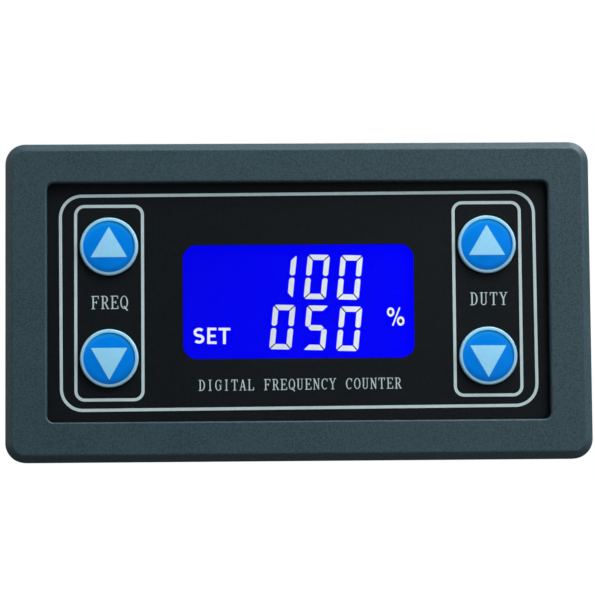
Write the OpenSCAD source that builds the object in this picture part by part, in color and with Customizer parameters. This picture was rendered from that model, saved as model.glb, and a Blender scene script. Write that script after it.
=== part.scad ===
// Panel-mounting frequency counter with a backlit liquid-crystal display.
// The origin is the centre of the panel cut-out, on the rear face of the bezel.
// +X is to the right of someone facing the display, +Y runs from the display to the
// terminals behind the panel, and +Z is up.

/* [Bezel and sleeve] */
// Width of the bezel
bezel_w = 79; // [78:0.5:82]
// Height of the bezel
bezel_h = 43; // [42:0.5:46]
// Thickness of the bezel in front of the panel
bezel_t = 3.2; // [3:0.1:3.6]
// Radius of the bezel's corners, seen from the front
bezel_corner_r = 2.7; // [1.5:0.1:4]
// Leg of the bevel round the front of the bezel
bezel_bevel = 0.95; // [0.6:0.05:1.2]
// Width of the sleeve that passes through the panel cut-out
sleeve_w = 75.2; // [75:0.1:75.6]
// Height of the sleeve
sleeve_h = 38.4; // [38.2:0.1:38.6]
// Depth of the sleeve behind the panel
sleeve_d = 22; // [22:0.5:30]
// Thickness of the moulded walls
wall = 1.6; // [1.4:0.1:1.7]

/* [Front panel] */
// Width of the recess in the bezel
recess_w = 67.7; // [67:0.1:68.5]
// Height of the recess in the bezel
recess_h = 32.25; // [31:0.05:33]
// Depth of the recess, down to the wall that carries the film
recess_d = 1.5; // [1.3:0.1:1.6]
// Thickness of the printed film
film_t = 0.3; // [0.15:0.05:0.4]
// Width of the display window in the film
window_w = 31.2; // [28:0.1:31.4]
// Height of the display window in the film
window_h = 15.4; // [13:0.1:15.6]
// Radius of the corners of the display window
window_r = 1.85; // [0.5:0.05:2.5]

/* [Buttons] */
// Distance of each button from the middle, across
button_x = 25.53; // [25.4:0.01:25.7]
// Distance of each button from the middle, up or down
button_z = 7.55; // [7.4:0.01:7.8]
// Diameter of a button
button_d = 7.85; // [7:0.05:8]
// How far a button stands out of the film
button_proud = 0.6; // [0.4:0.1:1]
// Travel of a button when it is pressed
button_travel = 0.3; // [0.2:0.05:0.35]

/* [Terminal block] */
// Distance between neighbouring clamps
pitch = 5.08; // [5:0.01:5.3]
// Height of the terminal block above the circuit board
block_t = 14; // [13.6:0.1:14.4]

/* [Hidden] */
$fn = 64;
EPS = 0.01;

// Clearances: moving parts, faces that lie on each other's film of air, and slots
running = 0.15;
touch = 0.05;
slot_gap = 0.3;

// Planes along Y, from the front to the rear
glass_t = 1.1;
polarizer_t = 0.2;
guide_t = 2.7;
board_t = 1.6;
cover_t = 1.6;
y_front = -bezel_t;
y_film = y_front + recess_d;
y_film_face = y_film - film_t;
y_wall_back = y_film + wall;
y_glass = y_wall_back + touch;
y_glass_front = y_glass + polarizer_t;
y_glass_mid = y_glass_front + glass_t;
y_glass_back = y_glass_mid + glass_t;
y_guide = y_glass_back + polarizer_t;
y_board = 6;
y_board_back = y_board + board_t;
y_rear = sleeve_d;
y_cover = y_rear - cover_t;

// Sleeve, recess and rear cover
sleeve_r = 1.5;
inner_w = sleeve_w - 2 * wall;
inner_h = sleeve_h - 2 * wall;
inner_r = 0.6;
recess_r = 0.9;
recess_flare = 0.3;
bevel_soft = 0.5;
film_gap = 0.1;
window_seat = 0.9;
cover_gap = 0.15;
hook_x = 24;
hook_w = 6;
hook_t = 1;
hook_l = 7;
hook_barb = 0.8;
hook_barb_l = 2;
hook_tip = 0.6;
rest_x = 34.6;
rest_z = 13;
rest_w = 2;
vent_w = 1.4;
vent_h = 12;
vent_pitch = 2.8;
vent_count = 7;
vent_x = 22.5;
vent_z = 2;

// Circuit board and its screws
board_w = 68;
board_h = 34;
board_r = 1;
boss_x = 31.6;
boss_z = 14.6;
boss_r = 2.2;
boss_bore_r = 1;
boss_bore_l = 5;
board_hole_r = 1.1;
screw_r = 0.97;
screw_l = 4.6;
screw_head_r = 1.9;
screw_head_t = 1.3;
cross_w = 0.5;
cross_l = 2.2;
cross_d = 0.8;

// Display: two glass plates, the light guide behind them and their frame
glass_w = 36;
glass_bottom = -9;
glass_top = 11;
ledge = 2.4;
polarizer_w = 34;
rear_polarizer_w = 33;
polarizer_low = glass_bottom + 0.6;
polarizer_high = glass_top - ledge - 0.2;
holder_w = 38;
holder_bottom = -9.6;
holder_top = 10.9;
guide_w = 33;
guide_h = 17.6;
pin_count = 14;
pin_pitch = 2.2;
pin_w = 0.5;
pin_t = 0.25;
pin_grip = 1.4;
pin_z = glass_top + pin_t / 2 + touch;
pin_hole_r = 0.4;
led_w = 1.1;
led_h = 3;
led_x = guide_w / 2 + 0.1 + led_w / 2;
y_led = y_guide + 0.2;
y_led_back = y_led + 2.2;
led_leg_z = 1;
led_leg_r = 0.2;

// Buttons
cap_r = button_d / 2;
hole_r = cap_r + running;
y_cap_face = y_film_face - button_proud;
cap_edge_r = 0.2;
cap_rim_w = 0.45;
cap_dish = 0.14;
cap_crown = 0.12;
cap_crown_r = (pow(cap_r - cap_rim_w, 2) + pow(cap_crown, 2)) / (2 * cap_crown);
flange_w = 9.4;
flange_r = 1;
flange_t = 1;
y_flange = y_wall_back + touch;
y_flange_back = y_flange + flange_t;
rib_t = 0.8;
rib_h = 6;
rib_l = 1.3;

// Switches under the buttons
switch_w = 6;
switch_t = 3.4;
switch_cover_t = 0.2;
y_switch = y_board - switch_t;
plunger_r = 1.75;
plunger_l = 3.3;
well_r = plunger_r + 0.35;
y_plunger = y_flange_back + touch;
y_dome = y_plunger + plunger_l + button_travel + touch;
dome_h = 0.2;
leg_x = 3.25;
leg_z = 2.25;
leg_w = 0.7;
leg_t = 0.3;
leg_bend = 0.2;
leg_rise = 1.4;
leg_hole_r = 0.5;
solder_end = 0.7;

// Side clips
clip_root_x = 36.8;
clip_root_y = 16.6;
clip_root_r = 0.72;
clip_t = 1.2;
clip_h = 11.6;
clip_tip_y = 3.2;
clip_tip_x = 39.3;
clip_tooth = 0.35;
clip_tooth_pitch = 1.1;
clip_teeth = 4;
clip_window_front = 2.2;
clip_window_back = 17.5;
clip_window_h = clip_h + 2 * slot_gap;

// Terminal block: wires enter from below, and the screws face the rear
clamps = 4;
block_w = clamps * pitch + 0.5;
block_z = 10.6;
block_low = -18.9;
block_high = block_low + block_z;
block_step_t = 2.5;
block_step_z = 1.2;
y_block_back = y_board_back + block_t;
clamp_z = -13.7;
cage_w = 4;
cage_l = 5.4;
cage_h = 6.6;
cage_floor = 0.9;
cage_roof = 1.5;
cage_side = 0.5;
cage_travel = 2.6;
cell_w = cage_w + 0.2;
cell_l = cage_l + 0.4;
y_cell = y_board_back + 1;
y_cage = y_cell + 0.2;
y_shelf = y_cage + cage_h + cage_travel + 0.1;
contact_t = 0.8;
contact_w = 2.2;
contact_front = 0.4;
contact_pin_w = 1;
contact_pin_low = -10.5;
contact_pin_high = -9.9;
contact_hole_r = 0.7;
y_contact = y_cage + cage_h - cage_roof - contact_t - 0.1;
clamp_thread_gap = 0.06;
clamp_screw_r = 1.4;
clamp_head_r = 1.95;
clamp_head_t = 1.8;
clamp_seat_gap = 0.02;
clamp_slot_w = 0.6;
clamp_slot_d = 1;
y_clamp_head = y_shelf + 0.72;
y_clamp_tip = y_contact + contact_t + 0.3;
wire_r = 1.75;
wire_flare = 0.35;
wire_flare_l = 0.5;
y_wire = y_cage + cage_floor + wire_r - 0.2;

// Components on the rear of the board, by their place in X and Z
lead_metal = 0.2;
lead_foot = 0.6;
lead_reach = 1.1;
standoff = 0.1;
mcu_x = 17;
mcu_z = 0;
mcu_w = 7;
mcu_t = 1.4;
mcu_lead_count = 8;
mcu_lead_pitch = 0.8;
mcu_lead_w = 0.35;
chip_lead_rise = 0.7;
driver_x = 4;
driver_z = 3.5;
driver_w = 4.9;
driver_h = 3.9;
driver_t = 1.4;
driver_lead_count = 4;
driver_lead_pitch = 1.27;
driver_lead_w = 0.4;
regulator_x = -17;
regulator_z = 10.5;
regulator_w = 4.5;
regulator_h = 2.5;
regulator_t = 1.5;
regulator_lead_pitch = 1.5;
regulator_lead_w = 0.45;
regulator_tab_w = 1.7;
regulator_lead_rise = 0.4;
crystal_x = 16.2;
crystal_z = -11;
crystal_w = 10.2;
crystal_h = 3.8;
crystal_t = 3.2;
crystal_rim = 0.4;
crystal_rim_t = 0.2;
y_crystal = y_board_back + 0.2;
crystal_lead_x = 2.44;
crystal_lead_r = 0.2;
crystal_hole_r = 0.35;
can_x = -18.4;
can_z = -1;
can_r = 3.15;
can_t = 7.2;
can_groove_r = 0.35;
can_groove_h = 1.2;
can_lead_w = 0.8;
can_lead_l = 2;
can_base_w = 6.6;
can_base_t = 0.4;
can_lead_z = 3;
diode_x = -9;
diode_z = 3;
diode_w = 4.3;
diode_h = 2.6;
diode_t = 2.1;
diode_lead_w = 1.4;
diode_lead_rise = 0.9;
chip_l = 2;
chip_w = 1.25;
chip_end = 0.35;
resistor_t = 0.5;
ceramic_t = 0.9;
RESISTORS = [
    [12, 8], [14.5, 8], [17, 8], [19.5, 8], [10, -4], [10, -1],
    [25, 2], [25, -1], [-3, 14.5], [0, 14.5], [3, 14.5]
];
CERAMICS = [[-11, 7], [-12, -4], [-12, -1], [25.5, -4.5], [10.5, 4], [-3, 4], [-26, 8], [24, -14]];

CORNERS = [[1, 1], [-1, 1], [-1, -1], [1, -1]];
BUTTONS = [
    ["freq_up", -1, 1],
    ["freq_down", -1, -1],
    ["duty_up", 1, 1],
    ["duty_down", 1, -1]
];

function pin_x(i) = (i - (pin_count - 1) / 2) * pin_pitch;
function clamp_x(i) = (i - (clamps - 1) / 2) * pitch;

// ---- helpers ----

// Extrudes a shape drawn in X and Z from one plane across Y to another
module slab(y0, y1) {
    translate([0, y1, 0]) rotate([90, 0, 0]) linear_extrude(y1 - y0) children();
}

// A round bar along Y
module rod(x, z, y0, y1, r) {
    translate([x, y1, z]) rotate([90, 0, 0]) cylinder(h = y1 - y0, r = r);
}

// A box given by its middle and sides in X and Z, and by two planes across Y
module block(x, z, w, h, y0, y1) {
    translate([x - w / 2, y0, z - h / 2]) cube([w, y1 - y0, h]);
}

// A rectangle with round corners, centred
module round_rect(w, h, r) {
    square([w - 2 * r, h], center = true);
    square([w, h - 2 * r], center = true);
    for (c = CORNERS) translate([c[0] * (w / 2 - r), c[1] * (h / 2 - r)]) circle(r);
}

// A plate whose edge has a profile: the child is drawn from a corner's centre outwards,
// with X as the distance from it and Y as the height
module profiled_plate(w, h, r, t) {
    across = w - 2 * r;
    up = h - 2 * r;
    translate([-across / 2, -up / 2, 0]) cube([across, up, t]);
    for (i = [0:3]) translate([CORNERS[i][0] * across / 2, CORNERS[i][1] * up / 2, 0])
        rotate(90 * i) rotate_extrude(angle = 90) children();
    for (s = [-1, 1]) {
        translate([0, s * up / 2, 0]) rotate(90 * s) rotate([90, 0, 0])
            linear_extrude(across, center = true) children();
        translate([s * across / 2, 0, 0]) rotate(90 - 90 * s) rotate([90, 0, 0])
            linear_extrude(up, center = true) children();
    }
}

// Profile of an edge that is rounded at the top
module rounded_edge(r, t, edge) {
    square([r, t - edge]);
    square([r - edge, t]);
    intersection() {
        translate([r - edge, t - edge]) circle(edge);
        square([r, t]);
    }
}

// Profile of an edge bevelled at 45 degrees, both ends of the bevel rounded
module bevelled_edge(r, t, leg, soft) {
    cut = soft * tan(22.5);
    side = cut * sin(45);
    polygon([
        [0, 0], [r, 0], [r, t - leg - cut], [r - side, t - leg + side],
        [r - leg + side, t - side], [r - leg - cut, t], [0, t]
    ]);
    translate([r - leg - cut, t - soft]) circle(soft);
    translate([r - soft, t - leg - cut]) circle(soft);
}

// Profile of a pocket's edge that flares out at the top
module flared_edge(r, t, flare) {
    difference() {
        union() {
            square([r, t]);
            translate([0, t - flare]) square([r + flare, flare]);
        }
        translate([r + flare, t - flare]) circle(flare);
    }
}

// A moulded chip body, standing just off the rear of the board
module chip(x, z, w, h, t) {
    block(x, z, w, h, y_board_back + standoff, y_board_back + standoff + t);
}

// A gull-wing lead from the side of a chip: its foot rests on the board, and it points
// along an angle in the plane of the board
module lead(x, z, angle, width, rise) {
    foot_at = lead_reach - lead_foot;
    translate([x, y_board_back, z]) rotate([0, -angle, 0]) translate([0, 0, -width / 2]) {
        translate([foot_at, 0, 0]) cube([lead_foot, lead_metal, width]);
        translate([foot_at, 0, 0]) cube([lead_metal, rise + lead_metal, width]);
        translate([0, rise, 0]) cube([foot_at + lead_metal, lead_metal, width]);
    }
}

// ---- case ----

module bezel() {
    rotate([90, 0, 0]) profiled_plate(bezel_w, bezel_h, bezel_corner_r, bezel_t)
        bevelled_edge(bezel_corner_r, bezel_t, bezel_bevel, bevel_soft);
}

module recess() {
    mouth = 2 * recess_flare;
    translate([0, y_film, 0]) rotate([90, 0, 0])
        profiled_plate(recess_w, recess_h, recess_r, recess_d)
            flared_edge(recess_r, recess_d, recess_flare);
    slab(y_front - 1, y_front + EPS)
        round_rect(recess_w + mouth, recess_h + mouth, recess_r + recess_flare);
}

// Opening in the side of the sleeve for a clip
module clip_window(side) {
    x = side > 0 ? sleeve_w / 2 - wall - 1 : -sleeve_w / 2 - 1;
    translate([x, clip_window_front, -clip_window_h / 2])
        cube([wall + 2, clip_window_back - clip_window_front, clip_window_h]);
}

// Opening in the top or bottom of the sleeve for a hook of the rear cover
module hook_window(x, side) {
    z = side > 0 ? inner_h / 2 - 1 : -sleeve_h / 2 - 1;
    translate([x - hook_w / 2 - slot_gap, y_cover - hook_l + hook_tip - slot_gap, z])
        cube([hook_w + 2 * slot_gap, hook_barb_l + 2 * slot_gap, wall + 2]);
}

module terminal_notch() {
    translate([-block_w / 2 - slot_gap, y_board_back - slot_gap, -sleeve_h / 2 - 1])
        cube([block_w + 2 * slot_gap, sleeve_d, wall + 1 + EPS]);
}

// Boss that a corner of the board is screwed to
module board_boss(side, up) {
    difference() {
        rod(side * boss_x, up * boss_z, y_wall_back - EPS, y_board, boss_r);
        rod(side * boss_x, up * boss_z, y_board - boss_bore_l, y_board + 1, boss_bore_r);
    }
}

// Ribs on either side of a button's flange, which keep the button from turning
module button_ribs(side, up) {
    rib_x = flange_w / 2 + running + rib_t / 2;
    for (s = [-1, 1]) block(side * button_x + s * rib_x, up * button_z, rib_t, rib_h,
        y_wall_back - EPS, y_wall_back + rib_l);
}

// Rib in a corner of the sleeve, which the rear cover rests on
module cover_rest(side, up) {
    x = side > 0 ? rest_x : -inner_w / 2 - EPS;
    translate([x, y_wall_back - EPS, up * rest_z - rest_w / 2])
        cube([inner_w / 2 - rest_x + EPS, y_cover - y_wall_back + EPS, rest_w]);
}

module case_body() {
    seat = 2 * window_seat;
    color("#3a4950") {
        difference() {
            union() {
                bezel();
                slab(-1, y_rear) round_rect(sleeve_w, sleeve_h, sleeve_r);
            }
            recess();
            slab(y_wall_back, y_rear + 1) round_rect(inner_w, inner_h, inner_r);
            slab(y_film - 1, y_wall_back + 1) round_rect(window_w + seat, window_h + seat, window_r);
            for (b = BUTTONS)
                rod(b[1] * button_x, b[2] * button_z, y_film - 1, y_wall_back + 1, hole_r);
            for (s = [-1, 1]) {
                clip_window(s);
                for (x = [-hook_x, hook_x]) hook_window(x, s);
            }
            terminal_notch();
        }
        for (c = CORNERS) {
            board_boss(c[0], c[1]);
            cover_rest(c[0], c[1]);
        }
        for (b = BUTTONS) button_ribs(b[1], b[2]);
    }
}

module cover_hook(x, side) {
    face = inner_h / 2 - cover_gap;
    barb = [[0, 0], [hook_barb, hook_barb_l], [0, hook_barb_l]];
    translate([x, y_cover - hook_l, 0]) mirror([0, 0, side > 0 ? 0 : 1]) {
        translate([-hook_w / 2, 0, face - hook_t]) cube([hook_w, hook_l + EPS, hook_t]);
        translate([0, hook_tip, face - EPS]) rotate([0, -90, 0])
            linear_extrude(hook_w, center = true) polygon(barb);
    }
}

module rear_cover() {
    color("#2b363b") difference() {
        union() {
            slab(y_cover, y_rear)
                round_rect(inner_w - 2 * cover_gap, inner_h - 2 * cover_gap, inner_r);
            for (x = [-hook_x, hook_x]) for (s = [-1, 1]) cover_hook(x, s);
        }
        translate([-block_w / 2 - slot_gap, y_cover - 1, -sleeve_h])
            cube([block_w + 2 * slot_gap, cover_t + 2, sleeve_h + block_high + slot_gap]);
        for (s = [-1, 1]) for (i = [0:vent_count - 1])
            slab(y_cover - 1, y_rear + 1)
                translate([s * vent_x + (i - (vent_count - 1) / 2) * vent_pitch, vent_z])
                    round_rect(vent_w, vent_h, vent_w / 2 - EPS);
    }
}

module front_film() {
    color("#15191b") difference() {
        slab(y_film_face, y_film)
            round_rect(recess_w - 2 * film_gap, recess_h - 2 * film_gap, recess_r - film_gap);
        slab(y_film - 1, y_film + 1) round_rect(window_w, window_h, window_r);
        for (b = BUTTONS) rod(b[1] * button_x, b[2] * button_z, y_film - 1, y_film + 1, hole_r);
    }
}

module display_window() {
    seat = 2 * (window_seat - film_gap);
    color("#c8d8ff") slab(y_film, y_wall_back) round_rect(window_w + seat, window_h + seat, window_r);
}

// ---- buttons and switches ----

// Half profile of the space over a keycap's face: a groove inside the rim round a low dome
module cap_dish_profile(h) {
    difference() {
        translate([0, h - cap_dish]) square([cap_r - cap_rim_w, 1]);
        translate([0, h - cap_dish + cap_crown - cap_crown_r]) circle(cap_crown_r);
    }
}

// Keycap with a rim round its domed face, on a square flange that holds it behind the front wall
module button(side, up) {
    h = y_flange_back - y_cap_face;
    color("#0a72c8") translate([side * button_x, y_flange_back, up * button_z]) {
        rotate([90, 0, 0]) rotate_extrude() difference() {
            rounded_edge(cap_r, h, cap_edge_r);
            cap_dish_profile(h);
        }
        slab(-flange_t, 0) round_rect(flange_w, flange_w, flange_r);
    }
}

module plunger(side, up) {
    color("#202224")
        rod(side * button_x, up * button_z, y_plunger, y_plunger + plunger_l, plunger_r);
}

module switch_bases() {
    color("#26282a") for (b = BUTTONS) difference() {
        block(b[1] * button_x, b[2] * button_z, switch_w, switch_w, y_switch, y_board);
        rod(b[1] * button_x, b[2] * button_z, y_switch - 1, y_dome + dome_h, well_r);
    }
}

module switch_covers() {
    color("#c9cccf") for (b = BUTTONS) difference() {
        block(b[1] * button_x, b[2] * button_z, switch_w, switch_w,
            y_switch - switch_cover_t, y_switch);
        rod(b[1] * button_x, b[2] * button_z, y_switch - 1, y_switch + 1, plunger_r + running);
    }
}

// Snap domes: thin dished discs on the floor of each switch
module switch_domes() {
    metal = 0.1;
    mid_sag = 0.04;
    mid_r = 1.2;
    edge_r = 1.95;
    shape = [
        [0, dome_h - metal], [mid_r, dome_h - metal - mid_sag], [edge_r, 0],
        [edge_r, metal], [mid_r, dome_h - mid_sag], [0, dome_h]
    ];
    color("#d8dadc") for (b = BUTTONS)
        translate([b[1] * button_x, y_dome + dome_h, b[2] * button_z])
            rotate([90, 0, 0]) rotate_extrude() polygon(shape);
}

// Four legs to a switch: a short foot meets its base, and the rest goes through the board
module switch_legs() {
    foot = leg_x - switch_w / 2 + leg_t / 2;
    y_foot = y_board - leg_rise;
    color("#d0d2d4") for (b = BUTTONS) for (sx = [-1, 1]) for (sz = [-1, 1])
        translate([b[1] * button_x, 0, b[2] * button_z + sz * leg_z]) {
            block(sx * leg_x, 0, leg_t, leg_w, y_foot, y_board_back + solder_end);
            block(sx * (switch_w + foot) / 2, 0, foot, leg_w, y_foot, y_foot + leg_bend);
        }
}

// ---- display ----

// A plate across the display, given by its planes across Y, width and two heights
module display_plate(y0, y1, w, low, high) {
    translate([-w / 2, y0, low]) cube([w, y1 - y0, high - low]);
}

module lcd_front_polarizer() {
    color("#20308c")
        display_plate(y_glass, y_glass_front, polarizer_w, polarizer_low, polarizer_high);
}

module lcd_front_glass() {
    color("#9fb8e8") display_plate(y_glass_front, y_glass_mid, glass_w, glass_bottom, glass_top - ledge);
}

module lcd_rear_glass() {
    color("#9fb8e8") display_plate(y_glass_mid, y_glass_back, glass_w, glass_bottom, glass_top);
}

module lcd_rear_polarizer() {
    color("#0a18c8")
        display_plate(y_glass_back, y_guide, rear_polarizer_w, polarizer_low, polarizer_high);
}

// Spring pins that grip the edge of the rear glass and run back to the board
module lcd_pins() {
    y_grip = y_glass_mid - pin_t;
    color("#d9dadb") for (i = [0:pin_count - 1]) {
        block(pin_x(i), pin_z, pin_w, pin_t, y_grip, y_board_back + solder_end);
        block(pin_x(i), pin_z - pin_grip / 2, pin_w, pin_grip, y_grip, y_glass_mid);
    }
}

module backlight_guide() {
    color("#e8f0ff") display_plate(y_guide, y_guide + guide_t, guide_w, -guide_h / 2, guide_h / 2);
}

module backlight_leds() {
    color("#f4f4e8") for (s = [-1, 1])
        block(s * led_x, 0, led_w, led_h, y_led, y_led_back);
}

module backlight_legs() {
    color("#d0d2d4") for (s = [-1, 1]) for (z = [-led_leg_z, led_leg_z])
        rod(s * led_x, z, y_led_back, y_board_back, led_leg_r);
}

// Frame that holds the glass and the light guide, open at the front and the top
module display_holder() {
    color("#f0f0ee") difference() {
        display_plate(y_glass, y_board, holder_w, holder_bottom, holder_top);
        display_plate(y_glass - 1, y_guide, glass_w + 4 * touch, glass_bottom - 2 * touch,
            holder_top + 1);
        display_plate(y_guide - EPS, y_guide + guide_t, guide_w + 2 * touch,
            -guide_h / 2 - touch, guide_h / 2 + touch);
        for (s = [-1, 1])
            block(s * led_x, 0, led_w + 4 * touch, led_h + 4 * touch, y_guide - EPS, y_board + 1);
    }
}

// ---- circuit board ----

module circuit_board() {
    legs = [for (b = BUTTONS, sx = [-1, 1], sz = [-1, 1])
        [b[1] * button_x + sx * leg_x, b[2] * button_z + sz * leg_z, leg_hole_r]];
    pins = [for (i = [0:pin_count - 1]) [pin_x(i), pin_z, pin_hole_r]];
    contacts = [for (i = [0:clamps - 1])
        [clamp_x(i), (contact_pin_low + contact_pin_high) / 2, contact_hole_r]];
    leds = [for (s = [-1, 1], z = [-1, 1]) [s * led_x, z * led_leg_z, crystal_hole_r]];
    crystals = [for (s = [-1, 1]) [crystal_x + s * crystal_lead_x, crystal_z, crystal_hole_r]];
    screws = [for (c = CORNERS) [c[0] * boss_x, c[1] * boss_z, board_hole_r]];
    color("#0f5a34") difference() {
        slab(y_board, y_board_back) round_rect(board_w, board_h, board_r);
        for (hole = concat(legs, pins, contacts, leds, crystals, screws))
            rod(hole[0], hole[1], y_board - 1, y_board_back + 1, hole[2]);
    }
}

module board_screws() {
    y_top = y_board_back + screw_head_t;
    color("#b9bcc0") for (c = CORNERS) translate([c[0] * boss_x, 0, c[1] * boss_z]) difference() {
        union() {
            rod(0, 0, y_board - screw_l, y_board_back + EPS, screw_r);
            rod(0, 0, y_board_back, y_top, screw_head_r);
        }
        block(0, 0, cross_l, cross_w, y_top - cross_d, y_top + 1);
        block(0, 0, cross_w, cross_l, y_top - cross_d, y_top + 1);
    }
}

module microcontroller() {
    color("#1c1e20") chip(mcu_x, mcu_z, mcu_w, mcu_w, mcu_t);
}

module microcontroller_leads() {
    color("#cfd1d3") for (a = [0:90:270]) for (i = [0:mcu_lead_count - 1]) {
        along = (i - (mcu_lead_count - 1) / 2) * mcu_lead_pitch;
        out = mcu_w / 2;
        lead(mcu_x + out * cos(a) - along * sin(a), mcu_z + out * sin(a) + along * cos(a),
            a, mcu_lead_w, chip_lead_rise);
    }
}

module driver_chip() {
    color("#1c1e20") chip(driver_x, driver_z, driver_w, driver_h, driver_t);
}

module driver_chip_leads() {
    color("#cfd1d3") for (s = [-1, 1]) for (i = [0:driver_lead_count - 1]) {
        along = (i - (driver_lead_count - 1) / 2) * driver_lead_pitch;
        lead(driver_x + along, driver_z + s * driver_h / 2, 90 * s, driver_lead_w, chip_lead_rise);
    }
}

module voltage_regulator() {
    color("#1c1e20") chip(regulator_x, regulator_z, regulator_w, regulator_h, regulator_t);
}

module voltage_regulator_leads() {
    color("#cfd1d3") {
        for (i = [-1:1])
            lead(regulator_x + i * regulator_lead_pitch, regulator_z - regulator_h / 2, -90,
                regulator_lead_w, regulator_lead_rise);
        lead(regulator_x, regulator_z + regulator_h / 2, 90, regulator_tab_w, regulator_lead_rise);
    }
}

// Low metal can with round ends on a wider rim
module crystal_can() {
    y_can = y_crystal + crystal_rim_t;
    rim = crystal_rim;
    color("#c4c7ca") translate([crystal_x, 0, crystal_z]) {
        slab(y_can - EPS, y_can + crystal_t) round_rect(crystal_w, crystal_h, crystal_h / 2 - EPS);
        slab(y_crystal, y_can)
            round_rect(crystal_w + 2 * rim, crystal_h + 2 * rim, crystal_h / 2 + rim - EPS);
    }
}

module crystal_leads() {
    color("#cfd1d3") for (s = [-1, 1])
        rod(crystal_x + s * crystal_lead_x, crystal_z, y_board - solder_end, y_crystal,
            crystal_lead_r);
}

// Aluminium can with a rolled groove above its plastic base
module input_capacitor() {
    y_can = y_board_back + standoff + can_base_t;
    color("#c8ccd0") translate([can_x, y_can, can_z]) rotate([-90, 0, 0]) rotate_extrude()
        difference() {
            square([can_r, can_t]);
            translate([can_r + can_groove_r / 2, can_groove_h]) circle(can_groove_r);
        }
}

module input_capacitor_base() {
    y_base = y_board_back + standoff;
    color("#1b1c1e") block(can_x, can_z, can_base_w, can_base_w, y_base, y_base + can_base_t);
}

module input_capacitor_leads() {
    color("#cfd1d3") for (s = [-1, 1])
        block(can_x, can_z + s * can_lead_z, can_lead_w, can_lead_l,
            y_board_back, y_board_back + standoff);
}

module protection_diode() {
    color("#242628") chip(diode_x, diode_z, diode_w, diode_h, diode_t);
}

module protection_diode_leads() {
    color("#cfd1d3") for (s = [-1, 1])
        lead(diode_x + s * diode_w / 2, diode_z, 90 - 90 * s, diode_lead_w, diode_lead_rise);
}

module chip_bodies(places, t) {
    for (p = places)
        block(p[0], p[1], chip_w, chip_l - 2 * chip_end, y_board_back, y_board_back + t);
}

// The tinned ends wrap a little higher than the body between them
module chip_ends(places, t) {
    for (p = places) for (s = [-1, 1])
        block(p[0], p[1] + s * (chip_l - chip_end) / 2, chip_w, chip_end,
            y_board_back, y_board_back + t + touch);
}

module chip_resistors() {
    color("#22252a") chip_bodies(RESISTORS, resistor_t);
}

module chip_capacitors() {
    color("#b08a5a") chip_bodies(CERAMICS, ceramic_t);
}

module chip_terminations() {
    color("#d6d8da") {
        chip_ends(RESISTORS, resistor_t);
        chip_ends(CERAMICS, ceramic_t);
    }
}

// ---- terminal block ----

// The hollow for one clamp: screwdriver hole, screw hole, cell for the cage, wire way with a
// flared mouth, and a slot for the contact
module clamp_hollow(i) {
    x = clamp_x(i);
    seat = y_clamp_head - clamp_seat_gap;
    rod(x, clamp_z, seat, y_block_back + 1, clamp_head_r + slot_gap);
    rod(x, clamp_z, y_shelf - 1, seat + 1, clamp_screw_r + running);
    block(x, clamp_z, cell_w, cell_l, y_cell, y_shelf);
    translate([x, y_wire, block_low - 1]) cylinder(h = clamp_z - block_low, r = wire_r);
    translate([x, y_wire, block_low - EPS])
        cylinder(h = wire_flare_l, r1 = wire_r + wire_flare, r2 = wire_r - EPS);
    translate([x - contact_w / 2 - 0.1, y_board_back - 1, clamp_z])
        cube([contact_w + 0.2, y_contact + contact_t + 1.1 - y_board_back,
            contact_pin_high + 0.1 - clamp_z]);
}

module terminal_block() {
    color("#1d7a46") difference() {
        block(0, (block_low + block_high) / 2, block_w, block_z, y_board_back, y_block_back);
        for (i = [0:clamps - 1]) clamp_hollow(i);
        translate([-block_w, y_block_back - block_step_t, block_high - block_step_z])
            cube([2 * block_w, block_step_t + 1, block_step_z + 1]);
    }
}

// Flat bar that the wire is squeezed against, with a pin down to the board
module terminal_contacts() {
    z_front = clamp_z - cage_l / 2 + contact_front;
    color("#d2b06a") for (i = [0:clamps - 1]) translate([clamp_x(i), 0, 0]) {
        translate([-contact_w / 2, y_contact, z_front])
            cube([contact_w, contact_t, contact_pin_high - z_front]);
        translate([-contact_pin_w / 2, y_board - solder_end, contact_pin_low])
            cube([contact_pin_w, y_contact + contact_t - y_board + solder_end,
                contact_pin_high - contact_pin_low]);
    }
}

module clamp_screw(i) {
    y_top = y_clamp_head + clamp_head_t;
    color("#c6c9cc") translate([clamp_x(i), 0, clamp_z]) difference() {
        union() {
            rod(0, 0, y_clamp_tip, y_clamp_head + EPS, clamp_screw_r);
            rod(0, 0, y_clamp_head, y_top, clamp_head_r);
        }
        block(0, 0, 3 * clamp_head_r, clamp_slot_w, y_top - clamp_slot_d, y_top + 1);
    }
}

// Steel cage that the screw lifts: it presses the wire up against the contact
module clamp_cage(i) {
    x = clamp_x(i);
    color("#bfc3c6") difference() {
        block(x, clamp_z, cage_w, cage_l, y_cage, y_cage + cage_h);
        block(x, clamp_z, cage_w - 2 * cage_side, cage_l + 2,
            y_cage + cage_floor, y_cage + cage_h - cage_roof);
        rod(x, clamp_z, y_cage + cage_h - cage_roof - 1, y_cage + cage_h + 1,
            clamp_screw_r + clamp_thread_gap);
    }
}

// ---- side clips ----

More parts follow.
